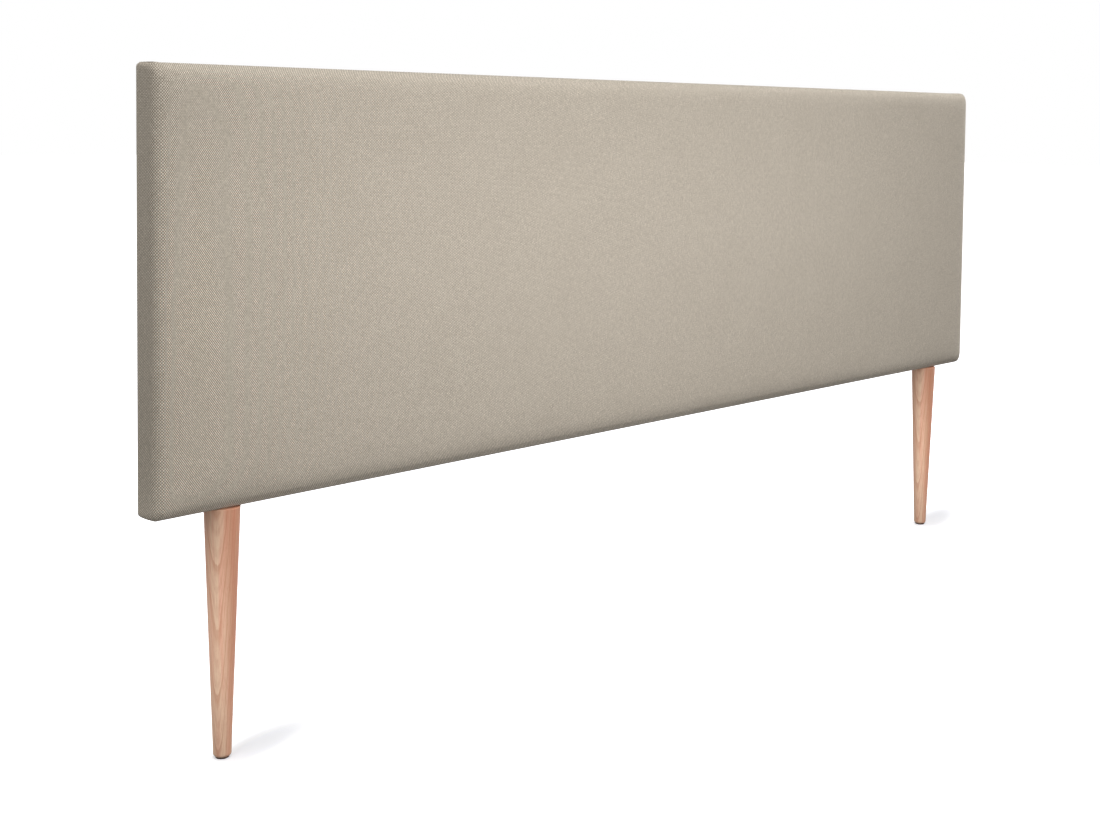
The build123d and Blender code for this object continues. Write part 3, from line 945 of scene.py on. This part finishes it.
    def faces(self, holed=False):
        """The faces between the points, without those in the holes for the legs' bolts."""
        nx, nz, count = len(lines_x), len(lines_z), len(columns)
        faces = [grid_face(i, j, nz) for i in range(nx - 1) for j in range(nz - 1)]
        rows = [[i * nz + j for i, j, _, _ in columns]]
        for ring in range(len(self.rings)):
            first = nx * nz + ring * count
            rows.append(range(first, first + count))
        for upper, lower in zip(rows, rows[1:]):
            for c in range(count):
                n = (c + 1) % count
                # Columns that start at one point of the grid leave out the corner that they share
                face = tuple(dict.fromkeys((upper[c], upper[n], lower[n], lower[c])))
                if not (holed and self.in_hole(face)):
                    faces.append(face)
        return faces

    def in_hole(self, face):
        """Whether a face lies in the hole for a leg's bolt."""
        x, y, z = self.points[list(face)].mean(0)
        near = abs(abs(x) - leg_x) < stud_hole and abs(y - front - leg_depth) < stud_hole
        return near and z < cover_low.z + hole_reach


# Pieces


def closed(outer, inner, faces):
    """A closed mesh from two skins that share their faces, with walls along the open borders."""
    count = len(outer)
    borders = {}  # edges that only one face has, in the faces' order
    for face in faces:
        for a, b in zip(face, face[1:] + face[:1]):
            if (b, a) in borders:
                del borders[(b, a)]
            else:
                borders[(a, b)] = True
    back_faces = [tuple(count + k for k in reversed(face)) for face in faces]
    walls = [(b, a, count + a, count + b) for a, b in borders]
    return np.concatenate([outer, inner]), faces + back_faces + walls


def mesh_object(name, points, faces, material, cloth=None):
    """An object from points and faces, with smooth shading, and its places on the flat cloth."""
    mesh = bpy.data.meshes.new(name)
    mesh.from_pydata([tuple(p) for p in points], [], faces)
    mesh.validate()
    if cloth is not None:
        attribute = mesh.attributes.new("cloth", "FLOAT_VECTOR", "POINT")
        attribute.data.foreach_set("vector", np.asarray(cloth, np.float32).ravel())
    mesh.polygons.foreach_set("use_smooth", [True] * len(mesh.polygons))
    mesh.materials.append(material)
    made = bpy.data.objects.new(name, mesh)
    bpy.context.scene.collection.objects.link(made)
    return made


def add_piece(made, node):
    """The piece rides on the part's one body, in place of its node."""
    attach(made, "root")
    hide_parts(node)
    return made


def make_cover(material):
    """The woven cover: its front, four sides, corner pleats and the hem on the back."""
    outer = Skin(Layer(0), panel_depth, hem=True, pleated=True)
    inner = Skin(Layer(cover_thickness), frame_back, hem=True)
    points, faces = closed(outer.points, inner.points, outer.faces(holed=True))
    cloth = np.concatenate([outer.cloth, outer.cloth])
    return add_piece(mesh_object("cover", points, faces, material, cloth), "fabric_cover")


def make_wadding(material):
    """Fibre wadding over the foam's front and down the frame's sides."""
    end = rows_behind_hole[-1]
    outer = Skin(Layer(cover_thickness), end)
    inner = Skin(Layer(cover_thickness + wadding_thickness), end)
    points, faces = closed(outer.points, inner.points, outer.faces(holed=True))
    return add_piece(mesh_object("wadding", points, faces, material), "wadding_layer")


def make_foam(material):
    """The foam sheet, rounded at its edge and flat at the back."""
    outer = Skin(Layer(cover_thickness + wadding_thickness), foam_back)
    flat = outer.points.copy()
    flat[:, 1] = front + foam_back
    points, faces = closed(outer.points, flat, outer.faces())
    return add_piece(mesh_object("foam", points, faces, material), "foam_pad")


def dust_lines(half, fixed):
    """Places of the dust cover's lines, closest at its folded edge, with some at fixed places."""
    inner = np.linspace(dust_fold - half, half - dust_fold, round(2 * half / dust_cell) + 1)
    for place in fixed:
        inner[np.argmin(abs(inner - place))] = place
    edge = np.array([0, dust_rim_line, dust_fold - dust_bend])
    return np.concatenate([edge - half, inner, half - edge[::-1]])


def staple_wave(place, first, last, steps):
    """From 0 at each staple of a row to 1 halfway between two."""
    return np.sin(np.pi * (place - first) / ((last - first) / steps)) ** 2


def puckered(from_row, from_end):
    """How much of a row's puckers is there, at a distance from the row and from its end."""
    return np.exp(-from_row / dust_pucker_reach) * smooth(0, dust_pucker_reach, from_end)


def dust_slack(x, z, half_z):
    """How much of its sag the cloth has: none over the battens, and all in the middle of a bay."""
    bay = plate_x / 2
    half_batten = (stile_high.x - stile_low.x) / 2
    in_bay = (abs(x) % plate_x - bay) / (bay - half_batten)
    beyond_cloth = rail_high.z - middle_height - half_z
    up_bay = z / (rail_low.z - middle_height - 2 * beyond_cloth)
    return np.clip(1 - in_bay**2, 0, 1) * np.clip(1 - up_bay**2, 0, 1)


def make_dust_cover(material):
    """Thin black cloth over the back, puckered between its staples and slack between the battens."""
    half_x, half_z = dust_high.x, (dust_high.z - dust_low.z) / 2
    window_low = plate_z - middle_height - window_half_height
    window_high = plate_z - middle_height + window_half_height
    window_sides = (-window_half_width, window_half_width)
    xs = dust_lines(half_x, [plate + side for plate in (-plate_x, plate_x) for side in window_sides])
    zs = dust_lines(half_z, (window_low, window_high))
    x, z = (a.ravel() for a in np.meshgrid(xs, zs, indexing="ij"))
    from_end, from_edge = half_x - abs(x), half_z - abs(z)
    inset = np.minimum(from_end, from_edge)

    low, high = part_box("dust_cover_staples")
    wave_x = staple_wave(x, low.x + staple_half, high.x - staple_half, staple_steps[0])
    wave_z = staple_wave(
        middle_height + z, low.z + staple_wire / 2, high.z - staple_wire / 2, staple_steps[1])
    fold = dust_fold_height * (1 - smooth(dust_fold - dust_bend, dust_fold, inset))
    pucker = wave_x * puckered(from_edge, from_end) + wave_z * puckered(from_end, from_edge)
    pucker = dust_pucker * pucker
    waves = slow_noise(x, z, dust_wave_width, dust_wave_slice)
    sag = dust_sag * dust_slack(x, z, half_z) * (1 + dust_sag_change * waves)
    height = fold + pucker - sag
    inward = dust_drawn_in * np.where(from_edge < from_end, wave_x, wave_z)
    x = x - np.sign(x) * inward * (from_end < dust_rim)
    z = z - np.sign(z) * inward * (from_edge < dust_rim)
    outer = np.stack([x, dust_high.y + height, middle_height + z], 1)
    inner = np.stack([x, dust_low.y + np.minimum(height, pucker), middle_height + z], 1)

    faces = []
    for i in range(len(xs) - 1):
        for j in range(len(zs) - 1):
            at_plate = abs(abs(xs[i] + xs[i + 1]) / 2 - plate_x) < window_half_width
            if not (at_plate and window_low < (zs[j] + zs[j + 1]) / 2 < window_high):
                a, b, c, d = grid_face(i, j, len(zs))
                faces.append((a, d, c, b))
    points, faces = closed(outer, inner, faces)
    return add_piece(mesh_object("dust_sheet", points, faces, material), "dust_cover")


def dress_nodes(materials):
    """Gives every carried-over node its material."""
    plan = {
        "pine": ("top_rail", "bottom_rail", "left_stile", "right_stile", "left_upright", "centre_upright",
                 "right_upright", "top_left_corner_block", "top_right_corner_block",
                 "bottom_left_corner_block", "bottom_right_corner_block"),
        "board": ("face_board",),
        "zinc": ("left_keyhole_plate", "right_keyhole_plate", "plate_screws", "frame_screws", "board_pins",
                 "cover_staples", "dust_cover_staples", "left_leg_bolt", "right_leg_bolt",
                 "left_leg_insert", "right_leg_insert", "foot_pad_nails"),
        "pad": ("left_foot_pad", "right_foot_pad"),
        "left_leg": ("left_leg",),
        "right_leg": ("right_leg",),
    }
    for kind, names in plan.items():
        for name in names:
            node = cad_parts[name]
            node.data.materials.clear()
            node.data.materials.append(materials[kind])


# Camera, floor, lamps and surroundings


def make_camera():
    """The photograph's viewpoint, from the front left, a little lower than the panel's top."""
    data = bpy.data.cameras.new("view")
    data.lens = camera_lens
    data.sensor_width = camera_sensor
    data.sensor_fit = "HORIZONTAL"
    data.shift_y = camera_shift
    data.clip_start = 0.05
    data.clip_end = 100
    camera = bpy.data.objects.new("view", data)
    turn = Matrix.Rotation(-camera_yaw, 4, "Z") @ Matrix.Rotation(math.pi / 2 + camera_pitch, 4, "X")
    turn = turn @ Matrix.Rotation(camera_roll, 4, "Z")
    camera.matrix_world = Matrix.Translation(camera_place) @ turn
    bpy.context.scene.collection.objects.link(camera)
    bpy.context.scene.camera = camera


def seen_rays(tree):
    """1 for the camera's own rays, and 1 for those and the ones that gloss and glass send on."""
    path = add(tree, "ShaderNodeLightPath").outputs
    shown = calc(tree, "MAXIMUM", path["Is Camera Ray"], path["Is Glossy Ray"])
    return path["Is Camera Ray"], calc(tree, "MAXIMUM", shown, path["Is Transmission Ray"])


def make_floor():
    """A plain white floor, white to the camera but for the object's shadow and a painted one by each foot.
    """
    corners = [(x * floor_half, y * floor_half, 0) for x, y in ((-1, -1), (1, -1), (1, 1), (-1, 1))]
    mesh = bpy.data.meshes.new("floor")
    mesh.from_pydata(corners, [], [(0, 1, 2, 3)])
    material = bpy.data.materials.new("white_floor")
    material.use_nodes = True
    tree = material.node_tree
    tree.nodes.clear()
    from_camera, seen = seen_rays(tree)

    # The distance from the middle of the nearer foot's shadow, in a slim patch that leans back
    x, y, _ = parted(tree, add(tree, "ShaderNodeTexCoord").outputs["Object"])
    from_middle = calc(tree, "ABSOLUTE", minus(tree, x, shadow_shift))
    along = times(tree, minus(tree, from_middle, leg_x), calc(tree, "SIGN", x))
    across = minus(tree, y, front + leg_depth)
    across = minus(tree, across, times(tree, along, shadow_lean))
    nearby = joined(tree, along, times(tree, across, shadow_slimness), 0.0)
    away = ranged(tree, length_of(tree, nearby), 0.0, shadow_reach, kind="LINEAR")
    # Less glow near the feet: a painted shadow, within which the real shadow shows
    at_foot = ranged(tree, x, -leg_x, leg_x, *floor_glow)
    glow = plus(tree, at_foot, calc(tree, "POWER", away, shadow_fullness))
    strength = times(tree, glow, seen)
    emission = add(tree, "ShaderNodeEmission", {"Color": (1, 1, 1, 1), "Strength": strength})
    colour = mix_colour(tree, from_camera, floor_bounce, floor_colour)
    diffuse = add(tree, "ShaderNodeBsdfDiffuse", {"Color": colour})
    total = add(tree, "ShaderNodeAddShader", {0: emission.outputs[0], 1: diffuse.outputs[0]})
    add(tree, "ShaderNodeOutputMaterial", {"Surface": total.outputs[0]})
    mesh.materials.append(material)
    floor = bpy.data.objects.new("floor", mesh)
    bpy.context.scene.collection.objects.link(floor)


def area_lamp(name, place, aim, size, power, spread=math.pi):
    """A soft rectangular lamp that faces a point, and lights within an angle."""
    data = bpy.data.lights.new(name, "AREA")
    data.shape = "RECTANGLE"
    data.size, data.size_y = size
    data.energy = power
    data.spread = spread
    lamp = bpy.data.objects.new(name, data)
    lamp.location = place
    lamp.rotation_euler = (Vector(aim) - Vector(place)).to_track_quat("-Z", "Y").to_euler()
    lamp.visible_camera = False
    bpy.context.scene.collection.objects.link(lamp)


def make_lamps():
    """The panel's lamps, and a narrow one on each leg from the front left."""
    for name, place, aim, size, power in panel_lamps:
        area_lamp(name, place, aim, size, power)
    along, across, up = leg_lamp_place
    for name, x, power in leg_lamps:
        place, aim = (x + along, across, up), (x, 0, leg_lamp_aim)
        area_lamp(name, place, aim, leg_lamp_size, power, leg_lamp_spread)


def make_surroundings():
    """Plain ambient light, and white wherever the camera sees past the floor."""
    world = bpy.data.worlds.new("studio")
    bpy.context.scene.world = world
    world.use_nodes = True
    tree = world.node_tree
    tree.nodes.clear()
    _, seen = seen_rays(tree)
    level = mix_number(tree, seen, ambient, 1.0)
    colour = mix_colour(tree, seen, ambient_colour, (1, 1, 1, 1))
    back = add(tree, "ShaderNodeBackground", {"Color": colour, "Strength": level})
    add(tree, "ShaderNodeOutputWorld", {"Surface": back.outputs[0]})


make_camera()
make_floor()
make_surroundings()
make_lamps()
bpy.context.scene.view_settings.view_transform = "Standard"

materials = {
    "cover": cover_material(),
    "left_leg": leg_material("left", -leg_x, turn=math.radians(-125)),
    "right_leg": leg_material("right", leg_x, turn=math.radians(-98)),
    "pine": pine_material(),
    "board": board_material(),
    "foam": soft_material(
        "open_cell_foam", shade(236, 228, 190), shade(206, 192, 144), cell=0.0012, relief=0.0004),
    "wadding": soft_material(
        "fibre_wadding", shade(242, 242, 240), shade(214, 214, 212), cell=0.0025, relief=0.0005),
    "dust": dust_material(),
    "zinc": zinc_material(),
    "pad": pad_material(),
}
dress_nodes(materials)
cover = make_cover(materials["cover"])
wadding = make_wadding(materials["wadding"])
foam = make_foam(materials["foam"])
dust_sheet = make_dust_cover(materials["dust"])
